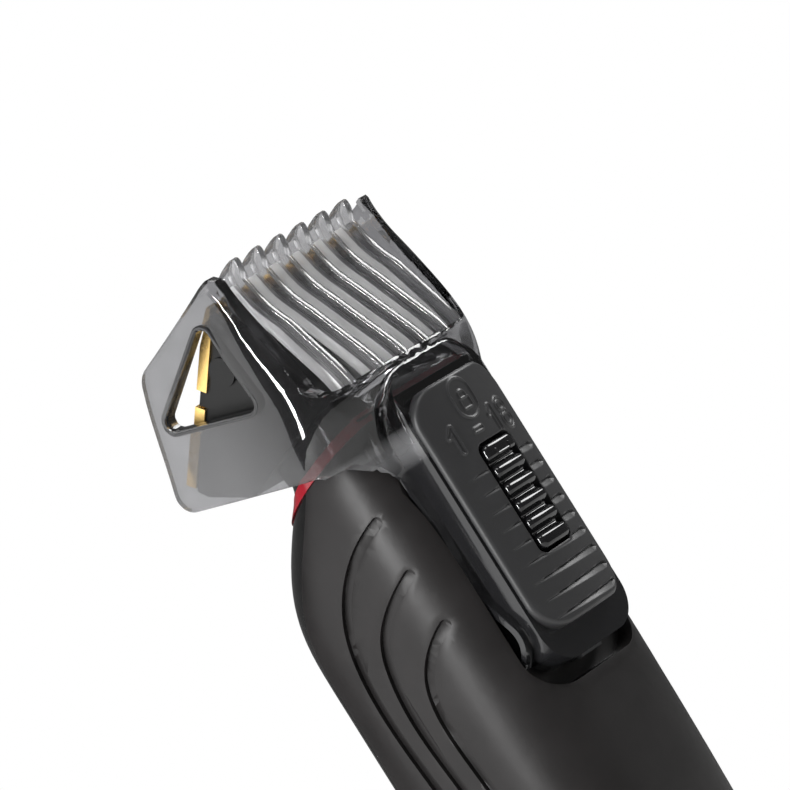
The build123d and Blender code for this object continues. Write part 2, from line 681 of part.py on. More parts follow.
def make_comb_frame():
    """Smoked comb: side panels with windows, frame bars, bar and the tongue's hump."""
    form = comb_form(0)
    profile = make_face(Polyline(*COMB_TOP, *COMB_FOOT, close=True))
    corners = [v for v in profile.vertices() if v.X < 0]
    profile = fillet(corners, COMB_CORNER)
    side_space = extrude(across_plane(-FAR) * profile, 2 * FAR)
    neck = TONGUE_HALF
    flare = Polyline(
        (-30, 200), (-30, 141.2), (-neck - 5.5, 140.2), (-neck - 2.0, 137.6), (-neck, 134.0), (-neck, TONGUE_END),
        (neck, TONGUE_END), (neck, 134.0), (neck + 2.0, 137.6), (neck + 5.5, 140.2), (30, 141.2), (30, 200),
        close=True,
    )
    outline = make_face(flare)
    feet = [v for v in outline.vertices() if v.Y < TONGUE_END + 1]
    outline = fillet(feet, 7.0)
    back_space = back_prism(outline, -FAR, FAR)
    frame = (form & side_space & back_space) - comb_form(COMB_WALL)
    frame = frame - box_between(-CHANNEL_HALF, CHANNEL_HALF, 0, TONGUE_UNDER, CHANNEL_END, BAR_BOTTOM)
    frame = frame - box_between(-SHOULDER_HALF, SHOULDER_HALF, 0, SHOULDER_UNDER, CHANNEL_END, BAR_BOTTOM)
    bar = form & box_between(-OPENING_HALF, OPENING_HALF, BAR_INNER_Y, FAR, BAR_BOTTOM, OPENING_FLOOR)
    hump = back_prism(rounded_outline(HUMP_HALF, HUMP_END, HUMP_UPPER, 6.5), FLANGE_TOP - COMB_WALL, HUMP_TOP)
    frame = frame + bar + hump
    cavity = box_between(-CAVITY_HALF, CAVITY_HALF, 0, CAVITY_TOP, CAVITY_LOW, CAVITY_HIGH)
    frame = frame - cavity
    guide = box_between(-CAVITY_HALF, CAVITY_HALF, FLANGE_TOP - COMB_WALL, CAVITY_TOP, GUIDE_LOW, GUIDE_HIGH)
    frame = frame + guide - rail_clearance()
    opening = rounded_outline(OPENING_HALF, OPENING_FLOOR, 210, OPENING_ROUND)
    frame = frame - back_prism(opening, -FAR, FAR)
    frame = frame - side_prism(WINDOW, FAR, WINDOW_ROUND)
    slot = rounded_outline(BUTTON_HALF + BUTTON_GAP, BUTTON_LOW - BUTTON_GAP, BUTTON_HIGH + BUTTON_GAP, 1.6)
    frame = frame - back_prism(slot, CAVITY_TOP - 1, FAR)
    bed = rounded_outline(PAD_HALF + 0.05, PAD_BOTTOM - 0.05, PAD_UPPER + 0.05, 6.0)
    return frame - back_prism(bed, PAD_BED, FAR)


def rail_clearance():
    """T shaped way for the rail through the tongue's walls."""
    stem = RAIL_STEM + RAIL_CLEAR
    flange = RAIL_HALF + RAIL_CLEAR
    low = TONGUE_END - 5
    way = box_between(-stem, stem, 10, RAIL_OVER + RAIL_CLEAR, low, CAVITY_HIGH)
    return way + box_between(-flange, flange, RAIL_UNDER - RAIL_CLEAR, RAIL_OVER + RAIL_CLEAR, low, CAVITY_HIGH)


def make_comb_pad():
    """Rubber pad: crowned across, with a slot for the button."""
    arc = ThreePointArc((-PAD_HALF, PAD_EDGE), (0, PAD_CROWN), (PAD_HALF, PAD_EDGE))
    base = Polyline((PAD_HALF, PAD_EDGE), (PAD_HALF, PAD_BED), (-PAD_HALF, PAD_BED), (-PAD_HALF, PAD_EDGE))
    face = make_face([arc, *base.edges()])
    crowned = Pos(0, 0, PAD_BOTTOM) * extrude(face, PAD_UPPER - PAD_BOTTOM)
    outline = rounded_outline(PAD_HALF, PAD_BOTTOM, PAD_UPPER, 6.0)
    slot = rounded_outline(BUTTON_HALF + BUTTON_GAP, BUTTON_LOW - BUTTON_GAP, BUTTON_HIGH + BUTTON_GAP, 1.6)
    return (crowned & back_prism(outline, 0, FAR)) - back_prism(slot, 0, FAR)


def make_comb_button():
    """Press button with ribs, legs round the rail and hooks under its flange."""
    button = back_prism(rounded_outline(BUTTON_HALF, BUTTON_LOW, BUTTON_HIGH, 1.3), BUTTON_UNDER, BUTTON_FACE)
    for index in range(5):
        z = BUTTON_LOW + 3.2 + index * BUTTON_RIB_PITCH
        button = button - Pos(0, BUTTON_FACE + 0.9, z) * Rot(0, 90, 0) * Cylinder(1.7, 20)
    leg_in = RAIL_HALF + 0.4
    for sign in (-1, 1):
        leg = box_between(sign * leg_in, sign * BUTTON_HALF, 18.7, BUTTON_UNDER + 1, HOOK_LOW, HOOK_HIGH)
        wing = box_between(sign * leg_in, sign * 5.8, 20.8, CAVITY_TOP - 0.05, HOOK_LOW, HOOK_HIGH)
        hook = box_between(sign * 1.8, sign * BUTTON_HALF, 18.7, RAIL_UNDER - 0.3, HOOK_LOW + 1.5, HOOK_HIGH - 1.5)
        button = button + leg + wing + hook
    return button


def make_button_springs():
    """Two leaves from the tongue's sides, reaching under the button's wings."""
    springs = []
    for sign in (-1, 1):
        springs.append(box_between(sign * 4.5, sign * CAVITY_HALF, 19.0, 19.4, HOOK_LOW, HOOK_HIGH))
    return springs


# ---------------------------------------------------------------- every sub-part
PARTS = {
    "rear_shell": make_rear_shell,
    "side_band": make_side_band,
    "front_cover": make_front_cover,
    "red_trim": make_red_trim,
    "neck_collar": make_neck_collar,
    "end_cap": make_end_cap,
    "charging_socket": make_charging_socket,
    "length_rack": make_length_rack,
    "housing_screws": make_housing_screws,
    "power_switch": make_power_switch,
    "slide_switch": make_slide_switch,
    "led_lens": make_led_lens,
    "circuit_board": make_circuit_board,
    "board_components": make_board_components,
    "chassis": make_chassis,
    "motor_can": make_motor_can,
    "motor_end": make_motor_end,
    "dust_seal": make_dust_seal,
    "motor_shaft": make_motor_shaft,
    "eccentric_cam": make_eccentric_cam,
    "battery_cells": make_battery_cells,
    "battery_tabs": make_battery_tabs,
    "blade_holder": make_blade_holder,
    "fixed_blade": make_fixed_blade,
    "moving_blade": make_moving_blade,
    "cutter_yoke": make_cutter_yoke,
    "blade_springs": make_blade_springs,
    "blade_screws": make_blade_screws,
    "comb_frame": make_comb_frame,
    "comb_tines": make_comb_tines,
    "comb_pad": make_comb_pad,
    "comb_button": make_comb_button,
    "button_springs": make_button_springs,
}

os.makedirs("parts", exist_ok=True)
for name, make in PARTS.items():
    shape = make()
    if isinstance(shape, list):
        shape = Compound(children=shape)
    export_step(shape, f"parts/{name}.step")
    print(name, round(shape.volume, 1))
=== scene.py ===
"""Cordless hair clipper with a sliding smoked comb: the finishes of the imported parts, the
moulded pieces that stand for the comb, its pad and its button, and a soft studio."""

import bmesh
import bpy
import numpy as np
from mathutils import Matrix, Vector


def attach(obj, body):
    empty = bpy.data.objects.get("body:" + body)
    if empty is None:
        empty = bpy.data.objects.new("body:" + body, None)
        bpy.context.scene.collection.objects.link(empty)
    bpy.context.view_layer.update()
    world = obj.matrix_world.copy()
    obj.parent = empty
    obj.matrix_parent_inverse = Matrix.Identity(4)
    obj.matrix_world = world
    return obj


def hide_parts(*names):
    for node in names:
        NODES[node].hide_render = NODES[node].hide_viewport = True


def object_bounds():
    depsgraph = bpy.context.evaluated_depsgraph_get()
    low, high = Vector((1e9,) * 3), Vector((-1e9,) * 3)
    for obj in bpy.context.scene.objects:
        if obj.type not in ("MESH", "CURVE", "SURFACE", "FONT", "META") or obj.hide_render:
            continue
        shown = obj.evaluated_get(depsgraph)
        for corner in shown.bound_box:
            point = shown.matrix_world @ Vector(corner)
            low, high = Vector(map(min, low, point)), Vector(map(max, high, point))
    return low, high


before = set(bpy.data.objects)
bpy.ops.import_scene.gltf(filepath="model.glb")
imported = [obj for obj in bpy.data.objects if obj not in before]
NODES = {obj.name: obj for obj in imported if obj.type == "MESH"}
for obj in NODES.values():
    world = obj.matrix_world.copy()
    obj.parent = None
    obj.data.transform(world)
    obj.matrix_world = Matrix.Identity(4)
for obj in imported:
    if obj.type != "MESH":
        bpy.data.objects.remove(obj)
cad_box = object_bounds()
MM = 0.001


# ---------------------------------------------------------------- finishes

class Value:
    """One output of a node tree. Operators on it add the Math nodes they stand for."""

    def __init__(self, nodes, socket):
        self.nodes = nodes
        self.socket = socket

    def math(self, operation, *others):
        inputs = dict(enumerate((self, *others)))
        return self.nodes.node("ShaderNodeMath", {"operation": operation}, inputs)

    def __add__(self, other):
        return self.math("ADD", other)

    def __sub__(self, other):
        return self.math("SUBTRACT", other)

    def __rsub__(self, other):
        inputs = {0: other, 1: self}
        return self.nodes.node("ShaderNodeMath", {"operation": "SUBTRACT"}, inputs)

    def __mul__(self, other):
        return self.math("MULTIPLY", other)

    def __lt__(self, other):
        return self.math("LESS_THAN", other)

    __radd__ = __add__
    __rmul__ = __mul__

    def size(self):
        return self.math("ABSOLUTE")

    def ramp(self, low, high):
        """0 up to low, 1 from high on, straight between."""
        inputs = {"Value": self, "From Min": low, "From Max": high}
        return self.nodes.node("ShaderNodeMapRange", {"clamp": True}, inputs)


class Nodes:
    """A node tree, and the one way to add a node to it."""

    def __init__(self, tree):
        self.tree = tree

    def node(self, kind, settings=None, inputs=None, output=0):
        made = self.tree.nodes.new(kind)
        for key, value in (settings or {}).items():
            setattr(made, key, value)
        for key, value in (inputs or {}).items():
            self.feed(made.inputs[key], value)
        return Value(self, made.outputs[output])

    def feed(self, socket, value):
        """Links an output to a socket, or puts a constant on the socket itself."""
        if isinstance(value, Value):
            self.tree.links.new(value.socket, socket)
        else:
            socket.default_value = value


class Finish(Nodes):
    """A material with one Principled shader, made from the piece's own coordinates."""

    def __init__(self, name, colour, **sockets):
        self.material = bpy.data.materials.new(name)
        self.material.use_nodes = True
        super().__init__(self.material.node_tree)
        self.shader = self.tree.nodes["Principled BSDF"]
        self.place = self.node("ShaderNodeTexCoord", output="Object")
        self.set("Base Color", (*colour, 1.0))
        for socket, value in sockets.items():
            self.set(socket.replace("_", " "), value)

    def set(self, socket, value):
        self.feed(self.shader.inputs[socket], value)

    def axis(self, letter):
        return self.node("ShaderNodeSeparateXYZ", None, {0: self.place}, output=letter)

    def noise(self, size, detail=2.0, stretch=(1.0, 1.0, 1.0)):
        """Cloudy noise with features of about this size in mm, stretched by the three factors."""
        scale = tuple(1.0 / (MM * size * s) for s in stretch)
        placed = self.node("ShaderNodeMapping", None, {"Vector": self.place, "Scale": scale})
        inputs = {"Vector": placed, "Scale": 1.0, "Detail": detail}
        return self.node("ShaderNodeTexNoise", None, inputs)

    def cells(self, size, feature="F1"):
        """Distance to the middle of the nearest of many scattered cells of about this size in
        mm, or to the border between two of them."""
        inputs = {"Vector": self.place, "Scale": 1.0 / (MM * size)}
        return self.node("ShaderNodeTexVoronoi", {"feature": feature}, inputs)

    def blend(self, low, high, mask):
        """Colour that goes from low to high as the mask goes from 0 to 1."""
        low = low if isinstance(low, Value) else (*low, 1.0)
        high = high if isinstance(high, Value) else (*high, 1.0)
        inputs = {0: mask, 6: low, 7: high}
        return self.node("ShaderNodeMix", {"data_type": "RGBA"}, inputs, output=2)

    def bump(self, height, depth):
        """Height from 0 to 1 stands for this many mm."""
        inputs = {"Height": height, "Distance": depth * MM, "Strength": 1.0}
        self.set("Normal", self.node("ShaderNodeBump", None, inputs))


def shaded(colour, factor):
    """The colour times a factor, kept within 1."""
    return tuple(min(1.0, c * factor) for c in colour)


def moulded(name, colour, rough, grain=0.25, depth=0.01, spread=0.06, tint=1.35, **sockets):
    """Moulded plastic: faint clouding, fine spark grain, and uneven polish with handling marks."""
    f = Finish(name, colour, **sockets)
    cloud = f.noise(9.0, detail=3.0)
    marks = f.noise(2.5, detail=4.0, stretch=(1.0, 1.0, 4.0)).ramp(0.52, 0.72)
    f.set("Base Color", f.blend(colour, shaded(colour, tint), cloud.ramp(0.35, 0.7)))
    f.set("Roughness", rough + (cloud - 0.5) * spread + marks * (spread * 0.6))
    f.bump(f.noise(grain), depth)
    return f


def brushed(name, colour, rough, along, dark=0.7):
    """Metal with fine brush lines along one axis and slightly darker, duller stains."""
    stretch = tuple(14.0 if axis == along else 0.6 for axis in "XYZ")
    f = Finish(name, colour, Metallic=1.0)
    lines = f.noise(0.12, stretch=stretch)
    stain = f.noise(4.0, detail=3.0).ramp(0.45, 0.75)
    f.set("Base Color", f.blend(colour, shaded(colour, dark), stain))
    f.set("Roughness", rough + lines * 0.12 + stain * 0.08)
    f.bump(lines, 0.004)
    return f


def rubber(name, colour, rough):
    """Soft rubber: dull, with a stipple of fine cells and paler worn patches."""
    f = Finish(name, colour)
    wear = f.noise(6.0, detail=4.0).ramp(0.5, 0.8)
    f.set("Base Color", f.blend(colour, shaded(colour, 1.5), wear))
    f.set("Roughness", rough - wear * 0.08)
    f.bump(f.cells(0.22), 0.012)
    return f


def smoked(name, colour, rough, clear):
    """Smoked plastic: tinted through its thickness, with faint flow lines and haze; clear is
    how much of it lets light through."""
    f = Finish(name, colour, Transmission_Weight=clear, IOR=1.49)
    haze = f.noise(5.0, detail=3.0).ramp(0.4, 0.8)
    f.set("Roughness", rough + haze * 0.03)
    f.set("Base Color", f.blend(colour, shaded(colour, 0.8), haze))
    f.bump(f.noise(3.0, stretch=(1.0, 1.0, 3.0)), 0.02)
    return f


def comb_haze_and_painted_light(f):
    """Adds a second, solid shader to the comb's smoke: a faint even haze all over, a painted
    highlight that makes the flat front sides milky, and painted shade that makes the tongue,
    which covers the rail, near black."""
    tongue_fade = (0.1345, 0.1415)      # heights
    front_fade = (-0.004, 0.010)        # depths
    painted_sheen_fade = (0.150, 0.180)         # heights
    y = f.axis("Y")
    z = f.axis("Z")
    # painted shade: a near-black solid layer over the tongue stands in for the shade in the recess
    # behind it
    painted_tongue_shade = 1.0 - z.ramp(*tongue_fade)
    # painted highlight: a pale solid layer on the lower front of the sides stands in for the sheen
    # of light on them
    painted_sheen = (1.0 - y.ramp(*front_fade)) * (1.0 - z.ramp(*painted_sheen_fade) * 0.85) * 0.12
    # colour of the solid layer: pale grey for the haze and the painted highlight, near black for
    # the painted shade on the tongue
    tint = f.blend((0.42, 0.42, 0.43), (0.012, 0.012, 0.013), painted_tongue_shade)
    inputs = {"Base Color": tint, "Roughness": 0.12 + f.noise(4.0, detail=3.0) * 0.05}
    body = f.node("ShaderNodeBsdfPrincipled", None, inputs)
    share = (painted_sheen + 0.008).math("MAXIMUM", painted_tongue_shade * 0.93)
    smoke = Value(f, f.shader.outputs[0])
    both = f.node("ShaderNodeMixShader", None, {0: share, 1: smoke, 2: body})
    f.feed(f.tree.nodes["Material Output"].inputs["Surface"], both)
    return f


def solder_mask():
    """Green board: copper tracks as paler lines between cells, and small bright pads."""
    board = (0.01, 0.09, 0.03)
    f = Finish("solder_mask", board)
    track = f.cells(3.0, "DISTANCE_TO_EDGE") < 0.05
    pad = f.cells(1.6) < 0.12
    f.set("Base Color", f.blend(f.blend(board, (0.03, 0.2, 0.06), track), (0.75, 0.6, 0.3), pad))
    f.set("Metallic", pad)
    f.set("Roughness", 0.3 + f.noise(1.0) * 0.15)
    f.bump(track, 0.03)
    return f


def cell_sleeve():
    """Shrink sleeve of a cell: blue film, a pale band near one end, wrinkles round the ends."""
    film = (0.02, 0.07, 0.25)
    f = Finish("cell_sleeve", film)
    band = (f.axis("Z") - 0.060).size() < 0.0022
    wrinkle = f.noise(0.8, stretch=(1.0, 1.0, 5.0))
    f.set("Base Color", f.blend(film, (0.75, 0.75, 0.72), band))
    f.set("Roughness", 0.25 + wrinkle * 0.15)
    f.bump(wrinkle, 0.05)
    return f


shell_black = moulded("shell_black", (0.009, 0.008, 0.008), 0.40, 0.3, 0.006,
                      Specular_IOR_Level=0.28)
gloss_black = moulded("gloss_black", (0.006, 0.006, 0.006), 0.09, 0.8, 0.002, 0.03)
front_black = moulded("front_black", (0.02, 0.02, 0.021), 0.42, 0.25, 0.012)
trim_red = moulded("trim_red", (0.30, 0.008, 0.018), 0.16, 0.8, 0.003, 0.04)
holder_black = moulded("holder_black", (0.004, 0.004, 0.004), 0.34, Specular_IOR_Level=0.25)
nylon_black = moulded("nylon_black", (0.018, 0.018, 0.019), 0.5, 0.2, 0.015)
nylon_white = moulded("nylon_white", (0.72, 0.71, 0.68), 0.42, 0.2, tint=1.08)
switch_grey = moulded("switch_grey", (0.05, 0.05, 0.055), 0.35)
chip_black = moulded("chip_black", (0.015, 0.015, 0.016), 0.5, 0.15)
seal_rubber = rubber("seal_rubber", (0.02, 0.02, 0.02), 0.7)
pad_rubber = rubber("pad_rubber", (0.017, 0.017, 0.018), 0.46)
button_gloss = moulded("button_gloss", (0.006, 0.006, 0.0065), 0.12, 0.8, 0.002, 0.03)
lens_amber = moulded("lens_amber", (0.55, 0.06, 0.03), 0.15, 0.5, 0.003)
steel = brushed("steel", (0.62, 0.62, 0.61), 0.28, "Z")
cutter_steel = brushed("cutter_steel", (0.66, 0.66, 0.66), 0.2, "X")
gold = brushed("gold", (0.83, 0.56, 0.20), 0.2, "X", dark=0.85)
nickel = brushed("nickel", (0.7, 0.68, 0.63), 0.25, "Y")
# the comb's smoke, with a faint haze, a painted highlight on its front sides and painted shade on
# its tongue
comb_smoke = comb_haze_and_painted_light(smoked("comb_smoke", (0.25, 0.25, 0.26), 0.015, 1.0))
tine_smoke = smoked("tine_smoke", (0.46, 0.46, 0.47), 0.10, 0.82)
# painted shade: the window rims get a darker, half solid copy of the smoke for their black edges
rim_shaded_smoke = smoked("rim_shaded_smoke", (0.05, 0.05, 0.052), 0.04, 0.5)
# painted highlight: a near-white, nearly solid copy of the tines' smoke for the faces that catch
# the light
tine_web = smoked("tine_web", (0.93, 0.93, 0.93), 0.2, 0.12)
mask_green = solder_mask()
cell_blue = cell_sleeve()

NODE_FINISH = {
    "rear_shell": shell_black, "side_band": gloss_black, "front_cover": front_black,
    "red_trim": trim_red, "neck_collar": gloss_black, "end_cap": gloss_black,
    "charging_socket": nylon_black, "length_rack": nylon_black, "housing_screws": steel,
    "power_switch": switch_grey, "slide_switch": nylon_black, "led_lens": lens_amber,
    "circuit_board": mask_green, "board_components": chip_black, "chassis": nylon_white,
    "motor_can": steel, "motor_end": nylon_white, "dust_seal": seal_rubber,
    "motor_shaft": steel, "eccentric_cam": nylon_white, "battery_cells": cell_blue,
    "battery_tabs": nickel, "blade_holder": holder_black, "fixed_blade": gold,
    "moving_blade": cutter_steel, "cutter_yoke": nylon_white, "blade_springs": steel,
    "blade_screws": steel, "comb_frame": comb_smoke, "comb_tines": tine_smoke,
    "comb_pad": pad_rubber, "comb_button": button_gloss, "button_springs": steel,
}
for node, finish in NODE_FINISH.items():
    materials = NODES[node].data.materials
    materials.clear()
    materials.append(finish.material)


# ---------------------------------------------------------------- shapes

BORDER_MERGE = 2e-6             # points that lie closer than this, in m, are one


def skin_mesh(name, skins, wrap=False, ends=False):
    """Mesh of quads over one or more grids of points, numbered grid after grid; each is joined
    round its second direction when wrap is set, and has its first and last row filled when
    ends is set."""
    faces, start = [], 0
    for points in skins:
        rows, columns = points.shape[:2]
        index = start + np.arange(rows * columns).reshape(rows, columns)
        around = np.concatenate([index, index[:, :1]], axis=1) if wrap else index
        corners = [around[:-1, :-1], around[:-1, 1:], around[1:, 1:], around[1:, :-1]]
        faces += np.stack(corners, axis=-1).reshape(-1, 4).tolist()
        if ends:
            faces += [index[0, ::-1].tolist(), index[-1].tolist()]
        start += rows * columns
    mesh = bpy.data.meshes.new(name)
    mesh.from_pydata(np.concatenate([p.reshape(-1, 3) for p in skins]), [], faces)
    mesh.validate()
    piece = bpy.data.objects.new(name, mesh)
    bpy.context.scene.collection.objects.link(piece)
    return piece


def facing_out(piece, merge=1e-7, fill=False):
    """Merges points that coincide, closes an open border with one face when fill is set, and
    turns every face of the closed piece outwards."""
    shape = bmesh.new()
    shape.from_mesh(piece.data)
    bmesh.ops.remove_doubles(shape, verts=shape.verts, dist=merge)
    if fill:
        border = [edge for edge in shape.edges if edge.is_boundary]
        bmesh.ops.holes_fill(shape, edges=border, sides=0)
    bmesh.ops.recalc_face_normals(shape, faces=shape.faces)
    shape.to_mesh(piece.data)
    shape.free()


def course_at(t, knots, wanted):
    """Natural cubic through the knots given at t, read at the wanted places: its bends at the
    knots solve one tridiagonal system."""
    h = np.diff(t)
    inner = np.arange(1, len(t) - 1)
    system = np.eye(len(t))
    system[inner, inner - 1] = h[:-1]
    system[inner, inner] = 2 * (h[:-1] + h[1:])
    system[inner, inner + 1] = h[1:]
    slope = np.diff(knots, axis=0) / h[:, None]
    bend = np.zeros_like(knots)
    bend[1:-1] = 6 * np.diff(slope, axis=0)
    bend = np.linalg.solve(system, bend)
    i = np.clip(np.searchsorted(t, wanted, side="right") - 1, 0, len(t) - 2)
    after = (wanted - t[i])[:, None]
    before = (t[i + 1] - wanted)[:, None]
    step = h[i][:, None]
    cubic = (bend[i] * before ** 3 + bend[i + 1] * after ** 3) / (6 * step)
    line = (knots[i] / step - bend[i] * step / 6) * before
    return cubic + line + (knots[i + 1] / step - bend[i + 1] * step / 6) * after


def inside_round(x, z, half_x, half_z, radius):
    """Depth inside a rounded rectangle about the origin, negative outside it."""
    qx = np.abs(x) - half_x + radius
    qz = np.abs(z) - half_z + radius
    beyond = np.hypot(np.maximum(qx, 0), np.maximum(qz, 0))
    return radius - beyond - np.minimum(np.maximum(qx, qz), 0)


def half_width(z, half_x, half_z, radius):
    """Half width of the same rounded rectangle at height z: half_x - radius +
    sqrt(radius^2 - e^2), where e is how far z reaches into the corner's arc."""
    end = np.clip(np.abs(z) - half_z + radius, 0, radius)
    return half_x - radius + np.sqrt(radius ** 2 - end ** 2)


def crowded(count, even):
    """Places from -1 to 1 that crowd at both ends: even * t + (1 - even) * sin(t pi / 2)."""
    t = np.linspace(-1, 1, count)
    return even * t + (1 - even) * np.sin(np.pi / 2 * t)


def shoulder(depth, radius):
    """How far a rounded edge lies below its face at this depth inside the outline."""
    near = np.clip(radius - depth, 0, radius)
    return radius - np.sqrt(radius ** 2 - near ** 2)


def skirted(skin, bed):
    """A height shape with a border added all round it, straight below its edge at Y = bed."""
    def dropped(edge):
        return np.stack([edge[..., 0], np.full(edge.shape[:-1], bed), edge[..., 2]], axis=-1)

    skin = np.concatenate([dropped(skin[:1]), skin, dropped(skin[-1:])], axis=0)
    return np.concatenate([dropped(skin[:, :1]), skin, dropped(skin[:, -1:])], axis=1)


def to_stroke(x, z, points):
    """Distance to a stroke drawn through the points."""
    nearest = np.full(x.shape, np.inf)
    for (x0, z0), (x1, z1) in zip(points[:-1], points[1:]):
        dx, dz = x1 - x0, z1 - z0
        share = np.clip(((x - x0) * dx + (z - z0) * dz) / (dx * dx + dz * dz), 0, 1)
        nearest = np.minimum(nearest, np.hypot(x - x0 - share * dx, z - z0 - share * dz))
    return nearest


def finished(piece, finish, body, slot, *nodes, smooth=40.0):
    """Gives a piece its finish, its body and the nodes it stands for; slot is not used."""
    piece.data.materials.clear()
    piece.data.materials.append(finish.material)
    piece.data.shade_smooth()
    piece.data.set_sharp_from_angle(angle=np.radians(smooth))
    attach(piece, body)
    if nodes:
        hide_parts(*nodes)
    return piece


# ---------------------------------------------------------------- comb tines

TINE_COUNT = 6
TINE_PITCH = 6.42
TINE_STATIONS = 60              # heights at which the section is set out, below the head
# How far the root of an outer, a second and a middle tine lies inwards, and where that ends
TINE_DROP = (2.2, 0.4, 0.0)
DROP_TOP, DROP_LENGTH = 166.3, 14.3
# Back edge of a middle tine: height, Y, depth of the tine, half its width over the usual one
TINE_BACK = np.array([
    (151.7, 24.0, 4.6, 1.0), (153.6, 23.3, 4.6, 1.0), (157.8, 21.3, 4.6, 1.0),
    (162.0, 19.1, 4.6, 1.0), (166.3, 16.9, 4.6, 1.0), (171.4, 14.4, 4.6, 1.0),
    (173.9, 13.8, 4.7, 1.0), (176.2, 13.3, 4.7, 1.0),
])
TINE_HEAD = np.array([
    (176.7, 13.5, 5.0, 1.12), (177.6, 13.9, 5.4, 1.15), (178.4, 14.1, 5.3, 1.12),
    (179.2, 14.15, 3.6, 1.0), (179.7, 14.1, 2.1, 0.8), (179.95, 13.9, 1.1, 0.4),
])
# Section of a tine: share of its depth from the back edge, and half its width in mm
TINE_SECTION = np.array([
    (0.0, 0.0), (0.0, 0.45), (0.02, 0.64), (0.06, 0.72), (0.25, 0.75), (0.46, 0.76),
    (0.475, 0.68), (0.50, 0.64), (0.52, 0.70), (0.80, 1.12), (0.85, 1.17), (0.93, 1.12),
    (1.0, 0.8), (1.0, 0.0),
])
PAINTED_HIGHLIGHT_BANDS = (8, 9, 10, 15, 16, 17)   # places round the section whose faces get the painted highlight: the front half of the tines' flat sides


def tine_skin(index):
    """One tine: its section is carried up its back edge, height by height, narrowing into the
    round head; points lie at back edge less share times depth."""
    rank = min(index, TINE_COUNT - 1 - index)
    heights = TINE_BACK[:, 0]
    z = np.linspace(heights[0], heights[-1], TINE_STATIONS)
    lower = np.column_stack([z, course_at(heights, TINE_BACK[:, 1:], z)])
    rows = np.concatenate([lower, TINE_HEAD])
    rows[:, 1] -= TINE_DROP[rank] * np.clip((DROP_TOP - rows[:, 0]) / DROP_LENGTH, 0, 1)
    loop = np.concatenate([TINE_SECTION, TINE_SECTION[-2:0:-1] * (1, -1)])
    x = (index - (TINE_COUNT - 1) / 2) * TINE_PITCH + rows[:, 3:4] * loop[None, :, 1]
    y = rows[:, 1:2] - rows[:, 2:3] * loop[None, :, 0]
    return np.stack([x, y, np.broadcast_to(rows[:, :1], x.shape)], axis=-1) * MM


def web_faces(count):
    """1 for each face that gets the painted highlight on the tines' flat sides, 0 for the others:
    faces run round the section, then up the tine, and each tine ends with its two end faces."""
    bands = 2 * len(TINE_SECTION) - 2
    rows = TINE_STATIONS + len(TINE_HEAD) - 1
    face = np.arange(count) % (bands * rows + 2)
    web = np.isin(face % bands, PAINTED_HIGHLIGHT_BANDS) & (face < bands * (TINE_STATIONS - 1))
    return web.astype(np.int32)


tines = skin_mesh("tines", [tine_skin(i) for i in range(TINE_COUNT)], wrap=True, ends=True)
mark = tines.data.attributes.new("web", "INT", "FACE")
mark.data.foreach_set("value", web_faces(len(tines.data.polygons)))
facing_out(tines)
finished(tines, tine_smoke, "comb", "smoked_clear", "comb_tines", smooth=28.0)
# the faces with the painted highlight take this second material
tines.data.materials.append(tine_web.material)
chosen = np.zeros(len(tines.data.polygons), np.int32)
tines.data.attributes["web"].data.foreach_get("value", chosen)
tines.data.polygons.foreach_set("material_index", chosen)


# ---------------------------------------------------------------- window rims

WINDOW = np.array([(6.5, 173.8), (-13.7, 161.8), (8.5, 156.0)])    # corners, as Y and Z
WINDOW_ROUND = 1.6
ARC_STEPS = 9
# Half width of the comb's side at some heights
COMB_SIDE = np.array([(154.0, 25.1), (161.0, 24.9), (168.0, 24.5), (177.0, 24.0)])
RIM_PROUD = 0.06                # how far a rim stands out of the comb's side
RIM_INNER = 21.9                # how far out from the middle a rim's inner edge lies
RIM_WIDTH = 0.9
# Section of a rim: share of its width away from the window, and share of its depth inwards
RIM_SECTION = np.array([
    (0.0, 1.0), (0.0, 0.5), (0.0, 0.16), (0.35, 0.0), (0.75, 0.0), (1.0, 0.1), (1.0, 0.5),
    (0.7, 1.0),
])


def unit(vectors):
    return vectors / np.linalg.norm(vectors, axis=-1, keepdims=True)


def rounded_corners(corners, radius):
    """Closed outline with an arc at each corner, and its outward normals: an arc's centre lies on
    the corner's bisector at radius / sin(half angle)."""
    back = unit(np.roll(corners, 1, 0) - corners)
    on = unit(np.roll(corners, -1, 0) - corners)
    half = (np.arccos((back * on).sum(axis=1)) / 2)[:, None]
    centre = corners + unit(back + on) * radius / np.sin(half)
    first = corners + back * radius / np.tan(half) - centre
    last = corners + on * radius / np.tan(half) - centre
    share = np.linspace(0, 1, ARC_STEPS)[None, :, None]
    spoke = unit(first[:, None] * (1 - share) + last[:, None] * share)
    return (centre[:, None] + spoke * radius).reshape(-1, 2), spoke.reshape(-1, 2)


def rim_skin(side):
    """Wall round a side window: its section is carried round the window's outline, from just
    proud of the comb's side to a fixed depth inside it."""
    outline, normal = rounded_corners(WINDOW, WINDOW_ROUND)
    away, inwards = RIM_SECTION[None, :, :1], RIM_SECTION[None, :, 1]
    place = outline[:, None, :] + normal[:, None, :] * (away * RIM_WIDTH)
    outer = np.interp(place[..., 1], *COMB_SIDE.T) + RIM_PROUD
    x = side * (outer + (RIM_INNER - outer) * inwards)
    points = np.stack([x, place[..., 0], place[..., 1]], axis=-1)
    return np.concatenate([points, points[:1]]) * MM


rims = skin_mesh("window_rims", [rim_skin(-1), rim_skin(1)], wrap=True)
facing_out(rims)
finished(rims, rim_shaded_smoke, "comb", "smoked_clear", smooth=35.0)


# ---------------------------------------------------------------- pad

